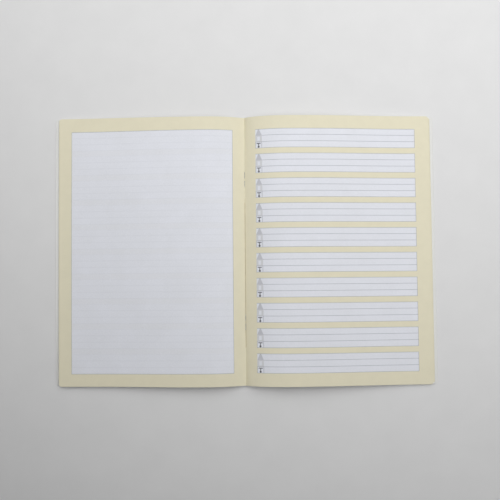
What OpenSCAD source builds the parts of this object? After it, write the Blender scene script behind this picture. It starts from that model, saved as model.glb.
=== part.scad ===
// Stapled writing exercise booklet, lying open at its middle sheet.
// The left page has one blank framed panel, the right page has ruled writing rows.
// Origin: middle of the spine, on the table. X runs across the spread, Y up the page, Z up.
// A page position s is measured along the curved paper, from the fold.

/* [Leaves] */
// Width of the innermost leaf, from the fold to the fore-edge
page_w = 147.5; // [110:0.5:220]
// Height of the leaves and of the cover
page_h = 210; // [150:1:300]
// Leaves on each side of the fold
leaf_count = 8; // [4:1:20]
// Thickness of one leaf
leaf_t = 0.1; // [0.06:0.01:0.2]
// Radius of the outer corners of the leaves and of the cover
corner_r = 2.5; // [1:0.5:8]

/* [Left page curve] */
// Height of the left crest above the table
left_crest_z = 9; // [5:0.1:16]
// Distance of the left crest from the fold
left_crest_at = 33; // [22:1:55]
// Air between the left leaves at the fore-edge
left_edge_air = 0.5; // [0:0.1:2]
// Share of the leaves' natural creep that shows at the left fore-edge, 0 for flush edges
left_fan = 0.15; // [0:0.05:1.5]

/* [Right page curve] */
// Height of the right crest above the table
right_crest_z = 10.6; // [5:0.1:16]
// Distance of the right crest from the fold
right_crest_at = 35; // [22:1:55]
// Air between the right leaves at the fore-edge
right_edge_air = 0.9; // [0:0.1:2]
// Share of the leaves' natural creep that shows at the right fore-edge
right_fan = 1; // [0:0.05:1.5]

/* [Cover] */
// Thickness of the cover card
cover_t = 0.3; // [0.2:0.05:0.6]
// Half width of the flat spine that lies over the staples
spine_half_w = 1.5; // [1:0.1:4]
// Width over which the card comes down from the spine to the table
spine_ramp_w = 5; // [3:0.5:12]
// Half of the slit between the two halves at the fold
fold_gap = 0.05; // [0.02:0.01:0.1]

/* [Staples] */
// Diameter of the wire
wire_d = 0.45; // [0.35:0.05:0.8]
// Length of a staple, from leg to leg
staple_w = 12; // [10:0.5:16]
// Distance of each staple's middle from the middle of the spine
staple_at = 56; // [30:1:80]
// Radius of the wire's bends, on its centre line
wire_bend_r = 0.5; // [0.4:0.05:0.8]
// Length of each leg that is pressed down on the middle sheet
clinch_len = 4.6; // [3:0.1:4.9]
// Air between the wire and the paper or the table
wire_gap = 0.03; // [0.02:0.01:0.1]

/* [Left page print] */
// Tinted margin beside the fold
left_gutter_margin = 10; // [5:0.5:20]
// Tinted margin along the fore-edge
left_outer_margin = 9.5; // [5:0.5:20]
// Tinted margin above and below the panel
left_end_margin = 10; // [5:0.5:20]

/* [Right page print] */
// Tinted margin beside the fold
right_gutter_margin = 9.7; // [5:0.1:20]
// Tinted margin along the fore-edge
right_outer_margin = 11.2; // [5:0.1:20]
// Least tinted margin above and below the rows
right_end_margin = 10; // [5:0.5:20]
// Height of one of the three writing zones of a row
zone_h = 5; // [3.5:0.1:8]
// Tinted gap between two rows
row_gap = 4.4; // [2:0.1:10]

/* [Row marks] */
// Width of the house drawn at the start of each row
mark_w = 5.4; // [4.6:0.1:8]
// Width of the roof's blunt ridge
ridge_w = 0.9; // [0.3:0.1:2]
// Width of the window in the walls
window_w = 2.1; // [1:0.1:3]
// Height of the wall above the window and below it
window_rim = 0.8; // [0.3:0.1:1]
// Width of the table top in the lower zone
table_w = 3.4; // [2:0.1:3.6]
// Thickness of the table top
table_top_t = 0.6; // [0.4:0.1:1]
// Space between the ruled line and the table top below it
table_drop = 0.7; // [0.3:0.1:1]
// Width of the table leg
table_leg_w = 0.6; // [0.4:0.1:1]
// Radius of the table's round foot
table_foot_r = 0.8; // [0.6:0.05:0.9]
// Space between the foot and the ruled line below it
foot_gap = 0.05; // [0.03:0.01:0.2]

/* [Print] */
// Width of every printed line
line_w = 0.3; // [0.2:0.05:0.6]
// Thickness given to the print
print_t = 0.05; // [0.03:0.01:0.1]

/* [Hidden] */
$fn = 32;
zones = 3;
page_steps = 16;
step_bias = 1.35;
ramp_steps = 6;
corner_steps = 8;

stack_t = leaf_count * leaf_t;
// Natural creep: the outermost leaf goes round the leaves inside it, and the cover goes round them all
wrap = PI / 2 * stack_t;
cover_w = page_w + PI / 2 * (stack_t + cover_t);
spine_lift = wire_d + 2 * wire_gap;
gutter_z = spine_lift + cover_t + stack_t;
left_edge_t = stack_t + left_edge_air;
right_edge_t = stack_t + right_edge_air;
above_all = max(left_crest_z, right_crest_z) + 1;

// Steepest rise of a page at the fold, which sets how high the pressed legs lie
left_rise = asin(2 * (left_crest_z - gutter_z) / left_crest_at);
right_rise = asin(2 * (right_crest_z - gutter_z) / right_crest_at);
crown_z = wire_gap + wire_d / 2;
clinch_z = gutter_z + (wire_d / 2 + print_t + wire_gap) / cos(max(left_rise, right_rise));

row_h = zones * zone_h;
walls_top = zone_h + line_w / 2;
walls_foot = (zones - 1) * zone_h - line_w / 2;
row_pitch = row_h + row_gap;
row_count = floor((page_h - 2 * right_end_margin + row_gap) / row_pitch);
rows_h = row_count * row_pitch - row_gap;
first_row_top = rows_h / 2;

paper_white = [0.86, 0.86, 0.88];
paper_cream = [0.86, 0.83, 0.72];
card_white = [0.84, 0.84, 0.82];
line_grey = [0.55, 0.57, 0.6];
roof_grey = [0.72, 0.72, 0.75];
wall_grey = [0.82, 0.83, 0.85];
motif_dark = [0.27, 0.27, 0.29];
staple_steel = [0.6, 0.6, 0.62];

// Height of a page at s: a round rise to the crest, then a long fall to the fore-edge
function page_z(s, crest_z, crest_at, edge_z) =
    s < crest_at
    ? crest_z - (crest_z - gutter_z) * pow(1 - s / crest_at, 2)
    : crest_z - (crest_z - edge_z) * (1 - cos(180 * (s - crest_at) / (page_w - crest_at))) / 2;

// A page's line as [s, x, z], with short steps at the fold, where it bends most
function page_line(crest_z, crest_at, edge_z) =
    let (
        s = [for (i = [0 : page_steps]) page_w * pow(i / page_steps, step_bias)],
        z = [for (v = s) page_z(v, crest_z, crest_at, edge_z)],
        run = [for (i = [0 : page_steps - 1]) sqrt(pow(s[i + 1] - s[i], 2) - pow(z[i + 1] - z[i], 2))]
    )
    [for (i = [0 : page_steps]) [s[i], fold_gap + run_to(run, i), z[i]]];

function run_to(run, i) = i == 0 ? 0 : run_to(run, i - 1) + run[i - 1];

left_line = page_line(left_crest_z, left_crest_at, cover_t + left_edge_t);
right_line = page_line(right_crest_z, right_crest_at, cover_t + right_edge_t);

// Place across the spread of a point at s on the page
function x_at(line, s) = lookup(s, [for (p = line) [p[0], p[1]]]);

function raised(line, by) = [for (p = line) [p[1], p[2] + by]];

function reversed(list) = [for (i = [len(list) - 1 : -1 : 0]) list[i]];

// Underside of the leaves: the air between them and their creep grow towards the fore-edge
function under(line, edge_t, fan) =
    [for (p = line) let (share = p[0] / page_w)
        [p[1] + fan * wrap * share, p[2] - stack_t - (edge_t - stack_t) * share]];

cover_under = concat(
    [[fold_gap, spine_lift]],
    [for (k = [0 : ramp_steps]) let (share = k / ramp_steps)
        [spine_half_w + spine_ramp_w * share, spine_lift * (1 + cos(180 * share)) / 2]],
    [[cover_w, 0]]
);
cover_over = [for (p = cover_under) [p[0], p[1] + cover_t]];

// A profile in X and Z, run along the whole height of the page
module along_page() {
    rotate([90, 0, 0]) linear_extrude(page_h, center = true) children();
}

module leg_holes() {
    for (side = [-1, 1])
        for (end = [-1, 1])
            translate([0, side * staple_at + end * staple_w / 2])
                circle(d = wire_d + 2 * wire_gap);
}

module with_leg_holes() {
    difference() {
        children();
        linear_extrude(above_all) leg_holes();
    }
}

// What is trimmed off outside a rounded corner, drawn with the sharp corner at the origin
module corner_waste(end, lean) {
    polygon(concat(
        [for (k = [0 : corner_steps]) let (turn = 90 * k / corner_steps)
            [cos(lean) * corner_r * (cos(turn) - 1), end * corner_r * (sin(turn) - 1)]],
        [[-cos(lean) * corner_r, end * corner_r], [corner_r, end * corner_r], [corner_r, -end * corner_r]]
    ));
}

// Rounds the two corners at a fore-edge that starts at x, z and leans outward going down
module round_corners(x, z, lean) {
    difference() {
        children();
        for (end = [-1, 1])
            translate([x, end * page_h / 2, z]) rotate([0, -lean, 0])
                linear_extrude(2 * above_all, center = true) corner_waste(end, lean);
    }
}

module cover_half() {
    round_corners(cover_w, 0, 0) with_leg_holes() along_page()
        polygon(concat(cover_under, reversed(cover_over)));
}

module leaf_stack(line, edge_t, fan) {
    round_corners(x_at(line, page_w), cover_t + edge_t, atan(fan * wrap / edge_t))
        with_leg_holes() along_page()
            polygon(concat(raised(line, 0), reversed(under(line, edge_t, fan))));
}

// What is drawn flat as children comes out as a thin layer on the curved page
module print_on(line) {
    intersection() {
        along_page() polygon(concat(raised(line, 0), reversed(raised(line, print_t))));
        linear_extrude(above_all) children();
    }
}

module area(x0, x1, y0, y1) {
    translate([x0, y0]) square([x1 - x0, y1 - y0]);
}

module page_area(line) {
    difference() {
        area(fold_gap, x_at(line, page_w), -page_h / 2, page_h / 2);
        leg_holes();
        for (end = [-1, 1])
            translate([x_at(line, page_w), end * page_h / 2]) corner_waste(end, 0);
    }
}

module front_cover() {
    color(card_white) mirror([1, 0, 0]) cover_half();
}

module back_cover() {
    color(card_white) cover_half();
}

module left_leaves() {
    color(paper_white) mirror([1, 0, 0]) leaf_stack(left_line, left_edge_t, left_fan);
}

module right_leaves() {
    color(paper_white) leaf_stack(right_line, right_edge_t, right_fan);
}

module straight_wire(length) {
    rotate([0, 90, 0]) cylinder(d = wire_d, h = length);
}

module wire_bend() {
    rotate_extrude(angle = 90) translate([wire_bend_r, 0]) circle(d = wire_d);
}

// Bent wire, drawn in X and Y: crown below, two legs, and the pressed ends above
module staple_wire() {
    straight_end = staple_w / 2 - wire_bend_r;
    leg_foot = crown_z + wire_bend_r;
    leg_top = clinch_z - wire_bend_r;
    translate([-straight_end, crown_z]) straight_wire(2 * straight_end);
    translate([straight_end, leg_foot]) rotate(270) wire_bend();
    translate([-straight_end, leg_foot]) rotate(180) wire_bend();
    for (end = [-1, 1])
        translate([end * staple_w / 2, leg_foot]) rotate(90) straight_wire(leg_top - leg_foot);
    translate([straight_end, leg_top]) wire_bend();
    translate([-straight_end, leg_top]) rotate(90) wire_bend();
    translate([straight_end - clinch_len, clinch_z]) straight_wire(clinch_len);
    translate([-straight_end, clinch_z]) straight_wire(clinch_len);
}

module staple(side) {
    color(staple_steel)
        translate([0, side * staple_at, 0]) rotate([90, 0, 90]) staple_wire();
}

module left_panel(inset) {
    area(
        x_at(left_line, left_gutter_margin + inset), x_at(left_line, page_w - left_outer_margin - inset),
        left_end_margin + inset - page_h / 2, page_h / 2 - left_end_margin - inset
    );
}

module left_margin_print() {
    color(paper_cream) mirror([1, 0, 0]) print_on(left_line) difference() {
        page_area(left_line);
        left_panel(0);
    }
}

module left_panel_outline() {
    color(line_grey) mirror([1, 0, 0]) print_on(left_line) difference() {
        left_panel(0);
        left_panel(line_w);
    }
}

// Every row is drawn with its top left corner at the origin, in s and Y
mark_left = right_gutter_margin;
mark_right = right_gutter_margin + mark_w;
mark_middle = right_gutter_margin + mark_w / 2;
row_right = page_w - right_outer_margin;

function rx(s) = x_at(right_line, s);

module each_row() {
    for (row = [0 : row_count - 1])
        translate([0, first_row_top - row * row_pitch]) children();
}

module row_field() {
    area(rx(mark_left), rx(row_right), -row_h, 0);
}

// The open cells of a row: the zones to write in, the roof and walls of the house, and the table's cell
module row_cells() {
    for (zone = [0 : zones - 1])
        area(rx(mark_right), rx(row_right - line_w),
            zone == zones - 1 ? line_w - row_h : line_w / 2 - (zone + 1) * zone_h,
            zone == 0 ? -line_w : -zone * zone_h - line_w / 2);
    area(rx(mark_left), rx(mark_right), -walls_foot, -line_w);
    area(rx(mark_left + line_w), rx(mark_right - line_w), line_w - row_h, -walls_foot - line_w);
}

module right_margin_print() {
    color(paper_cream) print_on(right_line) difference() {
        page_area(right_line);
        each_row() row_field();
    }
}

module row_lines() {
    color(line_grey) print_on(right_line) each_row() difference() {
        row_field();
        row_cells();
    }
}

// The roof of the house stands on its walls and reaches the top line of the row
module roof() {
    polygon([
        [rx(mark_left), -walls_top],
        [rx(mark_right), -walls_top],
        [rx(mark_middle + ridge_w / 2), -line_w],
        [rx(mark_middle - ridge_w / 2), -line_w]
    ]);
}

module walls() {
    difference() {
        area(rx(mark_left), rx(mark_right), -walls_foot, -walls_top);
        area(rx(mark_middle - window_w / 2), rx(mark_middle + window_w / 2),
            window_rim - walls_foot, -walls_top - window_rim);
    }
}

// A table with one leg and a round foot stands in the lower zone of the house
module table() {
    middle = rx(mark_middle);
    top_y = -walls_foot - line_w - table_drop;
    foot_y = line_w - row_h + foot_gap + table_foot_r;
    area(middle - table_w / 2, middle + table_w / 2, top_y - table_top_t, top_y);
    area(middle - table_leg_w / 2, middle + table_leg_w / 2, foot_y, top_y - table_top_t / 2);
    translate([middle, foot_y]) circle(table_foot_r);
}

module roof_marks() {
    color(roof_grey) print_on(right_line) each_row() roof();
}

module wall_marks() {
    color(wall_grey) print_on(right_line) each_row() walls();
}

module table_marks() {
    color(motif_dark) print_on(right_line) each_row() table();
}

front_cover();
back_cover();
left_leaves();
right_leaves();
staple(1);  // upper_staple
staple(-1);  // lower_staple
left_margin_print();
left_panel_outline();
right_margin_print();
row_lines();
roof_marks();
wall_marks();
table_marks();
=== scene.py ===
"""Looks for the open exercise notebook: card cover, separate leaves, print and wire staples.

Lengths are in millimetres, as in the CAD source, and MM turns them into metres. Only the floor, the lamp
and the camera are given in metres. A place s is measured along the curved paper, from the fold, and y
runs up the page.
"""

import math

import bpy
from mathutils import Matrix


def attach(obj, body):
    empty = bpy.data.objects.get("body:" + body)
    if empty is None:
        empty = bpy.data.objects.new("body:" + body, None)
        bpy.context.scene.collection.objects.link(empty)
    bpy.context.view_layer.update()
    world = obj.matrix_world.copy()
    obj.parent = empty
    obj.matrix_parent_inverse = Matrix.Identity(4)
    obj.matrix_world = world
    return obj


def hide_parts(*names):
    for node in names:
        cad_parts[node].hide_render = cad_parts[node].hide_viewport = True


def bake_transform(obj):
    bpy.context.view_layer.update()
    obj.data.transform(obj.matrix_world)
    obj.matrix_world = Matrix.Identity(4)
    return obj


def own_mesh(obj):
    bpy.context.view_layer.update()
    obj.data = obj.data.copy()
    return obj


MM = 0.001

# Leaves, cover, wire and print, as in the CAD source. WRAP is how far the outermost leaf creeps outward
PAGE_W = 147.5
PAGE_H = 210.0
LEAVES = 8
LEAF_T = 0.1
CORNER_R = 2.5
STACK_T = LEAVES * LEAF_T
WRAP = math.pi / 2 * STACK_T
COVER_T = 0.3
COVER_W = PAGE_W + math.pi / 2 * (STACK_T + COVER_T)
SPINE_HALF_W = 1.5
SPINE_RAMP_W = 5.0
WIRE_D = 0.45
WIRE_GAP = 0.03
WIRE_BEND_R = 0.5
STAPLE_W = 12.0
STAPLE_AT = 56.0
CLINCH_LEN = 4.6
PRINT_T = 0.05
LINE_W = 0.3
SPINE_LIFT = WIRE_D + 2 * WIRE_GAP
GUTTER_Z = SPINE_LIFT + COVER_T + STACK_T
CROWN_Z = WIRE_GAP + WIRE_D / 2

# Writing rows of the right page, as in the CAD source
ROWS = 10
ROW_LEFT = 9.7
ROW_RIGHT = PAGE_W - 11.2
ZONE_H = 5.0
ROW_H = 3 * ZONE_H
ROW_GAP = 4.4
ROW_PITCH = ROW_H + ROW_GAP
FIRST_ROW_TOP = (ROWS * ROW_PITCH - ROW_GAP) / 2

# The house with its table at the start of a row, as in the CAD source
MARK_W = 5.4
MARK_RIGHT = ROW_LEFT + MARK_W
MARK_MIDDLE = ROW_LEFT + MARK_W / 2
WALLS_TOP = ZONE_H + LINE_W / 2
WALLS_FOOT = 2 * ZONE_H - LINE_W / 2
RIDGE_W = 0.9
WINDOW_W = 2.1
WINDOW_RIM = 0.8
TABLE_W = 3.4
TABLE_TOP_T = 0.6
TABLE_DROP = 0.7
TABLE_LEG_W = 0.6
TABLE_FOOT_R = 0.8
TABLE_FOOT_GAP = 0.05

# Panel of the left page, and how high the print lies above the paper
PANEL = {"inner": 10.0, "outer": PAGE_W - 9.6, "top": PAGE_H / 2 - 10.3, "foot": 9.9 - PAGE_H / 2}
PRINT_LIFT = 0.03

# Widths of a leaf's tinted outer margins and of the bare rim along its cuts
MARGIN = 10.0
RIM_W = 1.5

# How far the left fore-edge runs out of square, and the share of that by which it runs out at the head
LEFT_SKEW = 1.4
HEAD_SKEW = 0.1

# side, body: side of the fold, and the body that the page moves with
# crest_z, crest_at: height of the crest, and its place
# edge_t: thickness of the leaves and of the air between them at the fore-edge
# fan: share of the leaves' creep that shows at the fore-edge
# reach, edge_drop: how much further the leaves reach there, and how far their upper rims are pressed down
# end_rise: how much steeper the page rises beside the fold at its head and foot
# head_lift, foot_lift: how high the free corners stand
# skew: how far the fore-edge runs out of square
PAGES = {
    "left": {
        "side": -1, "body": "front_half", "crest_z": 9.0, "crest_at": 33.0,
        "edge_t": STACK_T + 0.5, "fan": 0.15, "reach": 0.55, "edge_drop": 0.35, "end_rise": 0.1,
        "head_lift": 0.35, "foot_lift": 2.0, "skew": LEFT_SKEW,
    },
    "right": {
        "side": 1, "body": "back_half", "crest_z": 10.6, "crest_at": 35.0,
        "edge_t": STACK_T + 0.9, "fan": 1.0, "reach": 0.0, "edge_drop": 0.0, "end_rise": 2.2,
        "head_lift": 0.35, "foot_lift": 0.35, "skew": 0.0,
    },
}

# Width of the strip that reaches further, and of the rim that is pressed down
REACH_W = 10.0
DROP_W = 0.7

# Where the free corners start to rise
CORNER_RISE_FROM = 50.0

# Lengths from the fold in which a page's ends rise more steeply and come back again
END_RISE_IN = 4.0
END_RISE_OUT = 15.0

# How far the cuts at the head and the foot run up at the left fore-edge, where that starts, over what
# width it grows, and the power that keeps it near the cuts
CUT_SLANT = 0.45
SLANT_FROM = 40.0
SLANT_OVER = 70.0
SLANT_POWER = 16

# Half of the slit at the fold, and how much more it opens where the crease is sharp
SLIT_HALF_W = 0.01
CREASE_OPENING = 0.035

# The sharp part of the crease, where the tint is darkened as painted shade: its width on each page, the
# middle, half length and fading ends of its run
CREASE_W = 0.3
CREASE_MIDDLE = -17.0
CREASE_REACH = 62.0
CREASE_FADE = 10.0

# Bevel of the card's fore-edges: its depth and width
BEVEL_DEPTH = 0.18
BEVEL_W = 0.42

# How far the card's left fore-edge is bent up, and how far outside the leaves that starts
LEFT_CURL = 0.5
CURL_MARGIN = 0.3

# Chamfer of the wire's cut ends
WIRE_CHAMFER = 0.08

# Fineness of the meshes: the step in which a page's line is measured, and numbers of steps in each form
RUN_STEP = 0.1
PAPER_STEPS = 56
PAPER_STEP_BIAS = 1.35
CORNER_STEPS = 8
PANEL_STEPS = 20
HIDDEN_LEVELS = 16
ROOF_STEPS = 36
FOOT_STEPS = 16
CARD_STEPS = 14
CARD_LEVELS = 12
SPINE_STEPS = 12
BEND_STEPS = 8
WIRE_SIDES = 16

# The card's even steps stop this far from its fore-edges, and two more lie at these distances from them
CARD_RIM_W = 4.0
CARD_RIM_STEPS = (1.2, 0.7)

# Even steps keep this far from the rounded corners and from the card's ramps, and values closer than
# SAME count as one
CORNER_CLEAR = 0.2
RAMP_CLEAR = 0.5
SAME = 1e-6

# Depth of the relief in the materials: the paper's tooth and the wire's scratches
RELIEF_DEPTH = 0.03


def smooth(t):
    """0 below t = 0 and 1 above t = 1, with a soft step between them."""
    t = min(1.0, max(0.0, t))
    return t * t * (3 - 2 * t)


# Materials


def node_material(name):
    mat = bpy.data.materials.new(name)
    mat.use_nodes = True
    tree = mat.node_tree
    shader = tree.nodes["Principled BSDF"]
    coords = tree.nodes.new("ShaderNodeTexCoord")
    return mat, tree, shader, coords


def mapped(tree, coords, scale=(1.0, 1.0, 1.0), turn=0.0):
    place = tree.nodes.new("ShaderNodeMapping")
    place.inputs["Scale"].default_value = scale
    place.inputs["Rotation"].default_value = (0.0, 0.0, turn)
    tree.links.new(coords.outputs["Object"], place.inputs["Vector"])
    return place.outputs["Vector"]


def noise(tree, vector, scale, detail=4.0):
    made = tree.nodes.new("ShaderNodeTexNoise")
    made.inputs["Scale"].default_value = scale
    made.inputs["Detail"].default_value = detail
    made.inputs["Roughness"].default_value = 0.55
    tree.links.new(vector, made.inputs["Vector"])
    return made.outputs["Fac"]


def ranged(tree, value, low, high, out_low=0.0, out_high=1.0):
    made = tree.nodes.new("ShaderNodeMapRange")
    made.inputs["From Min"].default_value = low
    made.inputs["From Max"].default_value = high
    made.inputs["To Min"].default_value = out_low
    made.inputs["To Max"].default_value = out_high
    tree.links.new(value, made.inputs["Value"])
    return made.outputs["Result"]


def maths(tree, how, first, second):
    made = tree.nodes.new("ShaderNodeMath")
    made.operation = how
    for socket, value in zip(made.inputs, (first, second)):
        if isinstance(value, (int, float)):
            socket.default_value = value
        else:
            tree.links.new(value, socket)
    return made.outputs["Value"]


def product(tree, first, second):
    return maths(tree, "MULTIPLY", first, second)


def average(tree, first, second):
    return product(tree, maths(tree, "ADD", first, second), 0.5)


def within(tree, value, low, high, soft):
    """1 where value lies from low to high, with soft ends."""
    above = ranged(tree, value, low - soft, low + soft)
    below = ranged(tree, value, high - soft, high + soft, 1.0, 0.0)
    return product(tree, above, below)


def mixed(tree, share, first, second, blend="MIX"):
    made = tree.nodes.new("ShaderNodeMix")
    made.data_type = "RGBA"
    made.blend_type = blend
    for name, value in (("Factor", share), ("A", first), ("B", second)):
        socket = next(s for s in made.inputs if s.name == name and s.enabled)
        if isinstance(value, (tuple, float)):
            socket.default_value = value
        else:
            tree.links.new(value, socket)
    return next(s for s in made.outputs if s.enabled)


def srgb(red, green, blue):
    """A colour written as it should look on the screen, 0 to 255."""

    def linear(v):
        v /= 255
        return v / 12.92 if v <= 0.04045 else ((v + 0.055) / 1.055) ** 2.4

    return (linear(red), linear(green), linear(blue), 1.0)


def shade(colour, by):
    return tuple(min(1.0, c * by) for c in colour[:3]) + (1.0,)


def add_relief(tree, shader, height, strength):
    bump = tree.nodes.new("ShaderNodeBump")
    bump.inputs["Strength"].default_value = strength
    bump.inputs["Distance"].default_value = RELIEF_DEPTH * MM
    tree.links.new(height, bump.inputs["Height"])
    tree.links.new(bump.outputs["Normal"], shader.inputs["Normal"])


def paper(name, colour, fibre=0.05, cloud=0.03, relief=0.25, rough=(0.78, 0.92), rows_behind=False):
    """Uncoated paper: fine crossed fibres, faint clouding and a soft tooth."""
    mat, tree, shader, coords = node_material(name)
    fine = noise(tree, mapped(tree, coords, (2600.0, 700.0, 700.0), 0.5), 1.0)
    cross = noise(tree, mapped(tree, coords, (700.0, 2600.0, 700.0), 0.2), 1.0)
    fibres = average(tree, fine, cross)
    clouds = noise(tree, mapped(tree, coords), 55.0, detail=3.0)
    fibre_share = ranged(tree, fibres, 0.35, 0.65)
    cloud_share = ranged(tree, clouds, 0.3, 0.7)
    clouded = (1 - cloud, 1 - cloud, 1 - cloud * 1.2, 1.0)
    by_fibre = mixed(tree, fibre_share, shade(colour, 1 - fibre), shade(colour, 1 + fibre / 2))
    by_cloud = mixed(tree, cloud_share, clouded, (1.0, 1.0, 1.0, 1.0))
    face = mixed(tree, 1.0, by_fibre, by_cloud, "MULTIPLY")
    if rows_behind:
        face = with_rows_behind(tree, coords, face)
    tree.links.new(face, shader.inputs["Base Color"])
    tree.links.new(ranged(tree, fibres, 0.3, 0.7, rough[1], rough[0]), shader.inputs["Roughness"])
    add_relief(tree, shader, fibres, relief)
    shader.inputs["Specular IOR Level"].default_value = 0.25
    return mat


def with_rows_behind(tree, coords, colour):
    """The rows printed on the back of the left leaf, seen faintly through the paper."""
    line_strength, gap_strength = 0.045, 0.03
    line_core, line_blur, foot_blur, end_blur, gap_blur = 0.1, 0.55, 0.1, 0.4, 0.35
    rows_end, rows_foot = ROW_RIGHT - 1.0, ROW_H + LINE_W
    split = tree.nodes.new("ShaderNodeSeparateXYZ")
    tree.links.new(coords.outputs["Object"], split.inputs["Vector"])
    across = product(tree, split.outputs["X"], -1 / MM)
    down = maths(tree, "SUBTRACT", FIRST_ROW_TOP, product(tree, split.outputs["Y"], 1 / MM))
    in_row = maths(tree, "FLOORED_MODULO", down, ROW_PITCH)
    off_line = maths(tree, "PINGPONG", in_row, ZONE_H / 2)
    near_line = ranged(tree, off_line, line_core, line_blur, 1.0, 0.0)
    above_foot = ranged(tree, in_row, rows_foot - foot_blur, rows_foot + foot_blur, 1.0, 0.0)
    on_line = product(tree, near_line, above_foot)
    in_span = within(tree, across, ROW_LEFT, rows_end, end_blur)
    in_gap = within(tree, in_row, ROW_H, ROW_PITCH, gap_blur)
    line_share = product(tree, product(tree, on_line, in_span), line_strength)
    with_lines = mixed(tree, line_share, colour, srgb(120, 124, 140))
    return mixed(tree, product(tree, in_gap, gap_strength), with_lines, srgb(190, 180, 130))


def ink(name, colour, patchy):
    """Flat printed ink on paper: fibres break it up a little, and it sits a touch smoother."""
    mat, tree, shader, coords = node_material(name)
    fine = noise(tree, mapped(tree, coords), 2400.0, detail=3.0)
    wide = noise(tree, mapped(tree, coords), 160.0, detail=2.0)
    patches = ranged(tree, average(tree, fine, wide), 0.35, 0.65)
    toned = mixed(tree, patches, shade(colour, 1 - patchy), shade(colour, 1 + patchy))
    tree.links.new(toned, shader.inputs["Base Color"])
    tree.links.new(ranged(tree, fine, 0.3, 0.7, 0.85, 0.65), shader.inputs["Roughness"])
    add_relief(tree, shader, fine, 0.1)
    shader.inputs["Specular IOR Level"].default_value = 0.3
    return mat


def steel(name):
    """Drawn galvanised wire: fine scratches along it and dull patches."""
    mat, tree, shader, coords = node_material(name)
    drawn = noise(tree, mapped(tree, coords, (9000.0, 500.0, 9000.0)), 1.0, detail=5.0)
    dull = noise(tree, mapped(tree, coords), 700.0, detail=3.0)
    toned = mixed(tree, ranged(tree, dull, 0.35, 0.65), srgb(172, 171, 168), srgb(214, 212, 207))
    tree.links.new(toned, shader.inputs["Base Color"])
    tree.links.new(ranged(tree, drawn, 0.3, 0.7, 0.4, 0.6), shader.inputs["Roughness"])
    add_relief(tree, shader, drawn, 0.3)
    shader.inputs["Metallic"].default_value = 1.0
    return mat


def table_top(name):
    """A matt pale surface with a barely uneven tone."""
    mat, tree, shader, coords = node_material(name)
    grain = noise(tree, mapped(tree, coords), 40.0, detail=5.0)
    tone = mixed(tree, ranged(tree, grain, 0.3, 0.7), srgb(222, 222, 222), srgb(225, 225, 225))
    tree.links.new(tone, shader.inputs["Base Color"])
    shader.inputs["Roughness"].default_value = 0.9
    shader.inputs["Specular IOR Level"].default_value = 0.1
    return mat


# Form of the pages


def page_height(page, s):
    """Height of a page's face at s: a round rise to the crest, then a long fall to the fore-edge."""
    if s < page["crest_at"]:
        return page["crest_z"] - (page["crest_z"] - GUTTER_Z) * (1 - s / page["crest_at"]) ** 2
    edge_z = COVER_T + page["edge_t"]
    share = (s - page["crest_at"]) / (PAGE_W - page["crest_at"])
    return page["crest_z"] - (page["crest_z"] - edge_z) * (1 - math.cos(math.pi * share)) / 2


def page_run(page):
    """Places across the spread for every RUN_STEP along the paper, which keeps its length."""
    x = 0.0
    places = [x]
    for i in range(round(PAGE_W / RUN_STEP)):
        rise = page_height(page, (i + 1) * RUN_STEP) - page_height(page, i * RUN_STEP)
        x += math.sqrt(RUN_STEP * RUN_STEP - rise * rise)
        places.append(x)
    return places


for page in PAGES.values():
    page["run"] = page_run(page)


def page_x(page, s):
    """Place across the spread of a point at s."""
    at = min(max(s, 0.0), PAGE_W) / RUN_STEP
    low = min(int(at), len(page["run"]) - 2)
    return page["run"][low] + (page["run"][low + 1] - page["run"][low]) * (at - low)


def corner_lift(page, s, y):
    """The free corners of the leaves stand up a little."""
    lift = page["head_lift"] if y > 0 else page["foot_lift"]
    return lift * smooth((s - CORNER_RISE_FROM) / (PAGE_W - CORNER_RISE_FROM)) * (2 * y / PAGE_H) ** 2


def end_lift(page, s, y):
    """Beside the fold a page rises more steeply at its head and foot, where no staple holds it."""
    rise = (1 - math.exp(-s / END_RISE_IN)) * math.exp(-s / END_RISE_OUT)
    return page["end_rise"] * rise * abs(2 * y / PAGE_H) ** 3


def edge_drop(page, s):
    """The knife presses the rim of the upper leaves down a little at the fore-edge."""
    return page["edge_drop"] * max(0.0, 1 - (PAGE_W - s) / DROP_W) ** 2


def slanted(side, across, y):
    """How far the cuts at the head and the foot run up towards the left fore-edge."""
    if side >= 0:
        return 0.0
    return CUT_SLANT * smooth((across - SLANT_FROM) / SLANT_OVER) * abs(2 * y / PAGE_H) ** SLANT_POWER


def skewed(y):
    """Share of its skew by which an edge runs in at y: most at the foot, and a little out at the head."""
    return (0.5 - y / PAGE_H) ** 3 - HEAD_SKEW


def in_crease(y):
    """1 along the middle of the fold, where the crease is sharp, and 0 towards the head and the foot."""
    return smooth((CREASE_REACH - abs(y - CREASE_MIDDLE)) / CREASE_FADE)


def trimmed(across, y, width):
    """y kept inside the rounded corner of a sheet of this width."""
    over = max(0.0, across - (width - CORNER_R))
    reach = PAGE_H / 2 - CORNER_R + math.sqrt(max(0.0, CORNER_R**2 - over**2))
    return max(-reach, min(reach, y))


def leaf_point(page, leaf, s, y, above=0.0):
    """A point of leaf's upper face, in metres. Leaf 0 is the innermost one."""
    y = trimmed(s, y, PAGE_W)
    y += slanted(page["side"], s, y)
    depth = leaf / (LEAVES - 1)
    share = s / PAGE_W
    thick = STACK_T + (page["edge_t"] - STACK_T) * share
    z = page_height(page, s) - depth * (thick - LEAF_T) + above
    z += (corner_lift(page, s, y) - edge_drop(page, s)) * (1 - depth) + end_lift(page, s, y)
    x = SLIT_HALF_W + CREASE_OPENING * in_crease(y) + page_x(page, s) + WRAP * page["fan"] * share * depth
    x += page["reach"] * smooth((s - PAGE_W + REACH_W) / REACH_W) - page["skew"] * share * skewed(y)
    return (page["side"] * x * MM, y * MM, z * MM)


# Grids of the pages: steps along the paper and levels up the page


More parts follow.
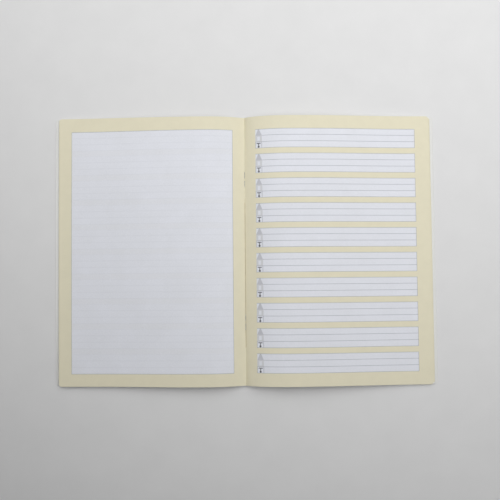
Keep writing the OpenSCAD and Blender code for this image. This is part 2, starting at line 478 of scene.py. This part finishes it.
def joined(values):
    """The values in order, each of them once."""
    kept = []
    for v in sorted(values):
        if not kept or v - kept[-1] > SAME:
            kept.append(v)
    return kept


def corner_places(width):
    """Places across a sheet that give its rounded corners their shape."""
    turns = [math.pi / 2 * n / CORNER_STEPS for n in range(CORNER_STEPS + 1)]
    return [width - CORNER_R * (1 - math.cos(turn)) for turn in turns]


def base_steps():
    """Steps along the paper, closer together at the fold and at the rounded corners."""
    spread = [PAGE_W * (i / PAPER_STEPS) ** PAPER_STEP_BIAS for i in range(PAPER_STEPS)]
    return [s for s in spread if s < PAGE_W - CORNER_R - CORNER_CLEAR] + corner_places(PAGE_W)


def end_levels():
    half = PAGE_H / 2
    return [-half, RIM_W - half, half - RIM_W, half]


def left_steps():
    inner, outer = PANEL["inner"], PANEL["outer"]
    return joined(base_steps() + [CREASE_W, inner, inner + LINE_W, outer - LINE_W, outer])


def left_levels():
    top, foot = PANEL["top"], PANEL["foot"]
    inside = [foot + (top - foot) * n / PANEL_STEPS for n in range(1, PANEL_STEPS)]
    return joined(inside + end_levels() + [foot, foot + LINE_W, top - LINE_W, top])


def right_steps():
    mark = [ROW_LEFT, ROW_LEFT + LINE_W, MARK_RIGHT - LINE_W, MARK_RIGHT]
    return joined(base_steps() + [CREASE_W] + mark + [ROW_RIGHT - LINE_W, ROW_RIGHT])


def row_tops():
    return [FIRST_ROW_TOP - row * ROW_PITCH for row in range(ROWS)]


def rule_bands(top):
    """The four ruled lines of a row, each as its lower and upper edge."""
    half = LINE_W / 2
    return [
        (top - LINE_W, top),
        (top - ZONE_H - half, top - ZONE_H + half),
        (top - 2 * ZONE_H - half, top - 2 * ZONE_H + half),
        (top - ROW_H, top - ROW_H + LINE_W),
    ]


def right_levels():
    edges = [edge for top in row_tops() for band in rule_bands(top) for edge in band]
    return joined(edges + end_levels())


def hidden_steps():
    return joined(base_steps() + [PAGE_W - MARGIN])


def hidden_levels():
    even = [PAGE_H * (n / HIDDEN_LEVELS - 0.5) for n in range(1, HIDDEN_LEVELS)]
    return joined(even + end_levels() + [MARGIN - PAGE_H / 2, PAGE_H / 2 - MARGIN])


# Printed areas: whether a point of a page lies on them


def in_panel(s, y, inset=0.0):
    across = PANEL["inner"] + inset < s < PANEL["outer"] - inset
    return across and PANEL["foot"] + inset < y < PANEL["top"] - inset


def on_panel_frame(s, y):
    return in_panel(s, y) and not in_panel(s, y, LINE_W)


def on_left_margin(s, y):
    return not in_panel(s, y)


def row_offset(y):
    """How far y lies below its row's top, or None between the rows."""
    for top in row_tops():
        if top - ROW_H < y < top:
            return top - y
    return None


def on_right_margin(s, y):
    return not ROW_LEFT < s < ROW_RIGHT or row_offset(y) is None


def on_row_rules(s, y):
    """The ruled lines, with the line at the row's end and the two beside the table."""
    if on_right_margin(s, y):
        return False
    level = any(low < y < high for top in row_tops() for low, high in rule_bands(top))
    if s > MARK_RIGHT:
        return level or s > ROW_RIGHT - LINE_W
    if LINE_W < row_offset(y) < WALLS_FOOT:
        return False
    beside_table = row_offset(y) > WALLS_FOOT and not ROW_LEFT + LINE_W < s < MARK_RIGHT - LINE_W
    return level or beside_table


def in_outer_margin(s, low, high):
    """Whether a cell of a leaf's grid lies in the tinted margin at its fore-edge, head or foot."""
    inside = PAGE_H / 2 - MARGIN
    return s > PAGE_W - MARGIN - SAME or high > inside + SAME or low < -inside - SAME


# Pieces of the notebook


def mesh_piece(name, points, faces, materials, face_materials=None):
    mesh = bpy.data.meshes.new(name)
    mesh.from_pydata(points, [], faces)
    for mat in materials:
        mesh.materials.append(mat)
    if face_materials:
        mesh.polygons.foreach_set("material_index", face_materials)
    mesh.polygons.foreach_set("use_smooth", [True] * len(faces))
    mesh.update()
    made = bpy.data.objects.new(name, mesh)
    bpy.context.scene.collection.objects.link(made)
    return made


def keep_edges_crisp(obj):
    """A sheet turns by a right angle at its rim, so edges between two materials aren't smoothed."""
    mesh = obj.data
    beside = {}
    for polygon in mesh.polygons:
        for key in polygon.edge_keys:
            beside.setdefault(key, set()).add(polygon.material_index)
    crisp = [len(beside[tuple(sorted(edge.vertices))]) > 1 for edge in mesh.edges]
    mesh.edges.foreach_set("use_edge_sharp", crisp)


def grid_border(cols, rows):
    """Every step round a grid's border, as the numbers of its two points."""
    places = [(i, 0) for i in range(cols)] + [(cols - 1, j) for j in range(1, rows)]
    places += [(i, rows - 1) for i in range(cols - 2, -1, -1)] + [(0, j) for j in range(rows - 2, 0, -1)]
    ring = [j * cols + i for i, j in places]
    return zip(ring, ring[1:] + ring[:1])


def facing(page, quad):
    """Corner order that turns the face upward on either side of the fold."""
    return quad if page["side"] > 0 else tuple(reversed(quad))


def leaf_piece(name, page, leaf, steps, levels, mats):
    """One leaf as a closed thin sheet.

    Its materials are its paper, its cut edges, the tint of its outer margins and its bare rim. The top
    leaf has a rim on its underside alone.
    """
    plain, cut, tinted, bare = range(len(mats))
    cols, rows = len(steps), len(levels)
    half = cols * rows
    points, faces, which = [], [], []
    for above in (0.0, -LEAF_T):
        for y in levels:
            points += [leaf_point(page, leaf, s, y, above) for s in steps]
    for j in range(rows - 1):
        at_end = abs(levels[j] + levels[j + 1]) / 2 > PAGE_H / 2 - RIM_W
        for i in range(cols - 1):
            first = j * cols + i
            quad = (first, first + 1, first + cols + 1, first + cols)
            faces.append(facing(page, quad))
            faces.append(facing(page, tuple(half + v for v in reversed(quad))))
            face = tinted if in_outer_margin(steps[i], levels[j], levels[j + 1]) else plain
            which.append(bare if at_end and leaf else face)
            which.append(bare if at_end or steps[i] > PAGE_W - RIM_W else face)
    for a, b in grid_border(cols, rows):
        faces.append(facing(page, (half + a, half + b, b, a)))
        which.append(cut)
    made = mesh_piece(name, points, faces, mats, which)
    keep_edges_crisp(made)
    return made


def print_piece(name, page, steps, levels, inside, mats):
    """Printed area on the innermost leaf: the cells of the grid that inside() accepts.

    A second, darker material paints the shade of the crease on the cells along its sharp part.
    """
    points, faces, which, known = [], [], [], {}

    def corner(i, j):
        if (i, j) not in known:
            known[i, j] = len(points)
            points.append(leaf_point(page, 0, steps[i], levels[j], PRINT_LIFT))
        return known[i, j]

    for j in range(len(levels) - 1):
        for i in range(len(steps) - 1):
            s, y = (steps[i] + steps[i + 1]) / 2, (levels[j] + levels[j + 1]) / 2
            if inside(s, y):
                quad = (corner(i, j), corner(i + 1, j), corner(i + 1, j + 1), corner(i, j + 1))
                faces.append(facing(page, quad))
                # Cells along the sharp crease take the darker tint, painted shade of the fold
                which.append(int(s < CREASE_W and in_crease(y) > 0.5))
    return mesh_piece(name, points, faces, mats, which)


def marker_piece(name, page, shapes, mat):
    """The same printed shapes at the start of every row.

    A shape is a list of (s, lower y, upper y), with y from the row's top.
    """
    points, faces = [], []
    for top in row_tops():
        for shape in shapes:
            first = len(points)
            for s, low, high in shape:
                points.append(leaf_point(page, 0, s, top + low, PRINT_LIFT))
                points.append(leaf_point(page, 0, s, top + high, PRINT_LIFT))
            for n in range(len(shape) - 1):
                a = first + 2 * n
                faces.append(facing(page, (a, a + 2, a + 3, a + 1)))
    return mesh_piece(name, points, faces, [mat])


def strip(left, right, low, high, count=4):
    """A level strip of a marker shape, from left to right along the paper."""
    return [(left + (right - left) * n / count, low, high) for n in range(count + 1)]


def roof_shapes():
    """A roof over the whole house, with a blunt ridge at the top line."""
    slope_w = MARK_W / 2 - RIDGE_W / 2
    shape = []
    for s, base, top in strip(ROW_LEFT, MARK_RIGHT, -WALLS_TOP, -LINE_W, ROOF_STEPS):
        climb = min(1.0, (MARK_W / 2 - abs(s - MARK_MIDDLE)) / slope_w)
        shape.append((s, base, base + (top - base) * climb))
    return [shape]


def wall_shapes():
    """Walls round a window."""
    left, right = MARK_MIDDLE - WINDOW_W / 2, MARK_MIDDLE + WINDOW_W / 2
    return [
        strip(ROW_LEFT, left, -WALLS_FOOT, -WALLS_TOP),
        strip(right, MARK_RIGHT, -WALLS_FOOT, -WALLS_TOP),
        strip(left, right, -WALLS_TOP - WINDOW_RIM, -WALLS_TOP),
        strip(left, right, -WALLS_FOOT, WINDOW_RIM - WALLS_FOOT),
    ]


def table_shapes():
    """A table top on one leg with a round foot."""
    top_y = -WALLS_FOOT - LINE_W - TABLE_DROP
    under_top = top_y - TABLE_TOP_T
    foot_y = LINE_W - ROW_H + TABLE_FOOT_GAP + TABLE_FOOT_R
    foot = []
    for n in range(FOOT_STEPS + 1):
        turn = math.pi * n / FOOT_STEPS
        reach = TABLE_FOOT_R * math.sin(turn)
        foot.append((MARK_MIDDLE - TABLE_FOOT_R * math.cos(turn), foot_y - reach, foot_y + reach))
    half_top, half_leg = TABLE_W / 2, TABLE_LEG_W / 2
    leg_low = foot_y + math.sqrt(TABLE_FOOT_R**2 - half_leg**2)
    return [
        strip(MARK_MIDDLE - half_top, MARK_MIDDLE + half_top, under_top, top_y),
        strip(MARK_MIDDLE - half_leg, MARK_MIDDLE + half_leg, leg_low, under_top, 2),
        foot,
    ]


def cover_under(x):
    """Height of the card's underside: over the crowns at the spine, and bent up at the left fore-edge."""
    share = (abs(x) - SPINE_HALF_W) / SPINE_RAMP_W
    if share <= 0:
        return SPINE_LIFT
    if share >= 1:
        return LEFT_CURL * smooth((-x - PAGE_W - CURL_MARGIN) / (COVER_W - PAGE_W - CURL_MARGIN))
    return SPINE_LIFT * (1 + math.cos(math.pi * share)) / 2


def cover_section():
    """The card's underside from the right fore-edge to the left one, as (x, z)."""
    even_w = COVER_W - CARD_RIM_W
    even = [even_w * n / CARD_STEPS for n in range(1, CARD_STEPS + 1)]
    flat = joined(corner_places(COVER_W) + [COVER_W - w for w in CARD_RIM_STEPS] + even)[::-1]
    ramp = [SPINE_HALF_W + SPINE_RAMP_W * n / SPINE_STEPS for n in range(SPINE_STEPS, -1, -1)]
    spine = [SPINE_HALF_W * n / SPINE_STEPS for n in range(SPINE_STEPS - 1, 0, -1)]
    right = [x for x in flat if x > ramp[0] + RAMP_CLEAR] + ramp + spine
    return [(x, cover_under(x)) for x in right + [0.0] + [-x for x in reversed(right)]]


def cover_point(x, z, y, rise):
    """A point of the card, in metres, at rise above its underside. Its upper fore-edges are bevelled."""
    bevel = BEVEL_DEPTH * max(0.0, 1 - (COVER_W - abs(x)) / BEVEL_W) if rise else 0.0
    y = trimmed(abs(x), y, COVER_W)
    y += slanted(x, abs(x), y)
    x += LEFT_SKEW * smooth(-x / COVER_W) * skewed(y)
    return (x * MM, y * MM, (z + rise - bevel) * MM)


def cover_piece(name, mats):
    """The card as one closed sheet. Its materials are its inside, its outside and its cut edges."""
    inside, outside, cut = range(len(mats))
    section = cover_section()
    levels = [PAGE_H * (n / CARD_LEVELS - 0.5) for n in range(CARD_LEVELS + 1)]
    cols, rows = len(section), len(levels)
    half = cols * rows
    points, faces, which = [], [], []
    for rise in (COVER_T, 0.0):
        for y in levels:
            points += [cover_point(x, z, y, rise) for x, z in section]
    for j in range(rows - 1):
        for i in range(cols - 1):
            first = j * cols + i
            quad = (first + 1, first, first + cols, first + cols + 1)
            faces += [quad, tuple(half + v for v in reversed(quad))]
            which += [inside, outside]
    for a, b in grid_border(cols, rows):
        faces.append((a, b, half + b, half + a))
        which.append(cut)
    made = mesh_piece(name, points, faces, mats, which)
    keep_edges_crisp(made)
    return made


def clinch_height():
    """Height of the pressed legs, which clear the print where the pages rise most steeply."""
    steepest = max(2 * (page["crest_z"] - GUTTER_Z) / page["crest_at"] for page in PAGES.values())
    return GUTTER_Z + (WIRE_D / 2 + PRINT_T + WIRE_GAP) / math.cos(math.asin(steepest))


def staple_path():
    """Centre line of a staple as (along Y, Z): pressed end, leg, crown, leg, pressed end."""
    top = clinch_height()
    straight = STAPLE_W / 2 - WIRE_BEND_R
    side = [(straight - CLINCH_LEN, top), (straight - CLINCH_LEN * 0.5, top), (straight, top)]
    turns = [math.pi / 2 * n / BEND_STEPS for n in range(BEND_STEPS + 1)]
    for turn in turns[1:]:
        out, down = WIRE_BEND_R * math.sin(turn), WIRE_BEND_R * (1 - math.cos(turn))
        side.append((straight + out, top - down))
    for turn in turns:
        out, up = WIRE_BEND_R * math.cos(turn), WIRE_BEND_R * (1 - math.sin(turn))
        side.append((straight + out, CROWN_Z + up))
    crown = [(straight * 0.5, CROWN_Z), (0.0, CROWN_Z), (-straight * 0.5, CROWN_Z)]
    return side + crown + [(-y, z) for y, z in reversed(side)]


def ring_at(ring, shift=0.0, inset=0.0):
    """A ring of wire, moved along its own direction by shift and narrowed by inset."""
    y, z, dy, dz, radius = ring
    return (y + dy * shift, z + dz * shift, dy, dz, radius - inset)


def wire_rings():
    """Rings along a staple's line: place, direction and radius of each. The cut ends are chamfered."""
    path = staple_path()
    last = len(path) - 1
    rings = []
    for n, (y, z) in enumerate(path):
        before, after = path[max(0, n - 1)], path[min(last, n + 1)]
        run, rise = after[0] - before[0], after[1] - before[1]
        length = math.hypot(run, rise)
        rings.append((y, z, run / length, rise / length, WIRE_D / 2))
    first_cut = ring_at(rings[0], inset=WIRE_CHAMFER)
    last_cut = ring_at(rings[last], inset=WIRE_CHAMFER)
    rings[0] = ring_at(rings[0], shift=WIRE_CHAMFER)
    rings[last] = ring_at(rings[last], shift=-WIRE_CHAMFER)
    return [first_cut] + rings + [last_cut]


def staple_piece(name, centre, mat):
    """Round wire swept along the staple's line."""
    rings = wire_rings()
    points, faces = [], []
    for y, z, dy, dz, radius in rings:
        for k in range(WIRE_SIDES):
            turn = 2 * math.pi * k / WIRE_SIDES
            out, side = radius * math.cos(turn), radius * math.sin(turn)
            points.append((side * MM, (centre + y - dz * out) * MM, (z + dy * out) * MM))
    for n in range(len(rings) - 1):
        for k in range(WIRE_SIDES):
            a, b = n * WIRE_SIDES + k, n * WIRE_SIDES + (k + 1) % WIRE_SIDES
            faces.append((a, b, b + WIRE_SIDES, a + WIRE_SIDES))
    faces.append(tuple(range(WIRE_SIDES - 1, -1, -1)))
    faces.append(tuple(range((len(rings) - 1) * WIRE_SIDES, len(rings) * WIRE_SIDES)))
    return mesh_piece(name, points, faces, [mat])


def flatten(obj, page):
    """Attaches a leaf or a print to the body of its page, and gives it a mesh of its own.
    """
    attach(obj, page["body"])
    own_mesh(obj)


# The notebook


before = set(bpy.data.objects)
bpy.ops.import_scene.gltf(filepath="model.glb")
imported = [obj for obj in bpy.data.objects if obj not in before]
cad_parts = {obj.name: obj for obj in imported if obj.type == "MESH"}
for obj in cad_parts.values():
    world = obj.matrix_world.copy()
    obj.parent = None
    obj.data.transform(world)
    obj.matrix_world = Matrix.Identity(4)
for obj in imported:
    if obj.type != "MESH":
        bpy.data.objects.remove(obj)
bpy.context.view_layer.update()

PAPER = srgb(231, 233, 240)

leaf_face = paper("leaf_paper", PAPER)
panel_face = paper("left_leaf_paper", PAPER, rows_behind=True)
leaf_edge = paper("leaf_cut_edge", srgb(205, 202, 196), fibre=0.12, relief=0.5)
leaf_rim = paper("leaf_rim", srgb(246, 245, 241), fibre=0.03, cloud=0.02)
card_inside = paper("card_inside", srgb(226, 226, 224), fibre=0.04, rough=(0.6, 0.8))
card_outside = paper("card_outside", srgb(222, 219, 208), cloud=0.04, relief=0.35, rough=(0.45, 0.65))
card_edge = paper("card_cut_edge", srgb(212, 209, 202), fibre=0.14, relief=0.6)
tint = ink("margin_tint", srgb(228, 222, 197), patchy=0.02)
# The crease's tint is the margin tint darkened: painted shade in the fold
crease_shade = ink("painted_crease_shade", srgb(203, 191, 158), patchy=0.1)
rule_ink = ink("rule_ink", srgb(172, 175, 183), patchy=0.08)
roof_ink = ink("roof_ink", srgb(198, 199, 205), patchy=0.05)
wall_ink = ink("wall_ink", srgb(212, 213, 217), patchy=0.04)
table_ink = ink("table_ink", srgb(96, 96, 102), patchy=0.1)
wire = steel("staple_wire")

top_grids = {"left": (left_steps(), left_levels()), "right": (right_steps(), right_levels())}
hidden_grid = (hidden_steps(), hidden_levels())

for label, page in PAGES.items():
    for leaf in range(LEAVES):
        grid = top_grids[label] if leaf == 0 else hidden_grid
        face = panel_face if label == "left" and leaf == 0 else leaf_face
        mats = [face, leaf_edge, tint, leaf_rim]
        sheet = leaf_piece(f"{label}_leaf_{leaf + 1}", page, leaf, *grid, mats)
        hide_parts(f"{label}_leaves")
        flatten(sheet, page)

prints = [
    ("left", "left_margin_tint", on_left_margin, [tint, crease_shade], "tinted_print", "left_margin_print"),
    ("left", "left_panel_frame", on_panel_frame, [rule_ink], "line_print", "left_panel_outline"),
    ("right", "right_margin_tint", on_right_margin, [tint, crease_shade], "tinted_print", "right_margin_print"),
    ("right", "right_row_rules", on_row_rules, [rule_ink], "line_print", "row_lines"),
]
for label, name, inside, mats, slot, node in prints:
    film = print_piece(name, PAGES[label], *top_grids[label], inside, mats)
    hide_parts(node)
    flatten(film, PAGES[label])

markers = [
    ("row_marker_roofs", roof_shapes(), roof_ink, "roof_print", "roof_marks"),
    ("row_marker_walls", wall_shapes(), wall_ink, "wall_print", "wall_marks"),
    ("row_marker_tables", table_shapes(), table_ink, "table_print", "table_marks"),
]
for name, shapes, mat, slot, node in markers:
    film = marker_piece(name, PAGES["right"], shapes, mat)
    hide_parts(node)
    flatten(film, PAGES["right"])

cover = cover_piece("card_cover", [card_inside, card_outside, card_edge])
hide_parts("front_cover", "back_cover")
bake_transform(cover)

for name, centre, node in (
    ("upper_wire_staple", STAPLE_AT, "upper_staple"),
    ("lower_wire_staple", -STAPLE_AT, "lower_staple"),
):
    staple = staple_piece(name, centre, wire)
    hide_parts(node)
    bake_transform(staple)

# Table top, just under the card, with its half width in metres

FLOOR_HALF = 3.0
FLOOR_DROP = 0.02

floor_corners = [(x * FLOOR_HALF, y * FLOOR_HALF, 0.0) for x, y in ((-1, -1), (1, -1), (1, 1), (-1, 1))]
floor = mesh_piece("floor", floor_corners, [(0, 1, 2, 3)], [table_top("pale_floor")])
floor.location.z = -FLOOR_DROP * MM

# Even room light, and a level round lamp that shines straight down, and less to its sides, as a softbox
# with a grid does

world = bpy.data.worlds.new("soft_room")
world.use_nodes = True
bpy.context.scene.world = world
background = world.node_tree.nodes["Background"]
background.inputs["Color"].default_value = (1.0, 1.0, 1.0, 1.0)
background.inputs["Strength"].default_value = 0.064

lamp_data = bpy.data.lights.new("key_lamp", "AREA")
lamp_data.shape = "DISK"
lamp_data.size = 1.51
lamp_data.spread = math.radians(136)
lamp_data.energy = 7.3
lamp = bpy.data.objects.new("key_lamp", lamp_data)
bpy.context.scene.collection.objects.link(lamp)
lamp.location = (0.216, 0.516, 0.6)
lamp.visible_camera = False

# Camera, placed by a fit to the photo: its focal length there and the photo's width, both in pixels

FOCAL_PX = 694.0
PHOTO_PX = 500.0
SENSOR_W = 36.0

camera_data = bpy.data.cameras.new("camera")
camera_data.sensor_width = SENSOR_W
camera_data.lens = FOCAL_PX / PHOTO_PX * SENSOR_W
camera_data.clip_start = 0.01
camera = bpy.data.objects.new("camera", camera_data)
bpy.context.scene.collection.objects.link(camera)
camera.location = (0.006138, -0.027223, 0.545335)
camera.rotation_euler = (0.0508, 0.0048, -0.0085)
bpy.context.scene.camera = camera
bpy.context.scene.view_settings.view_transform = "Standard"
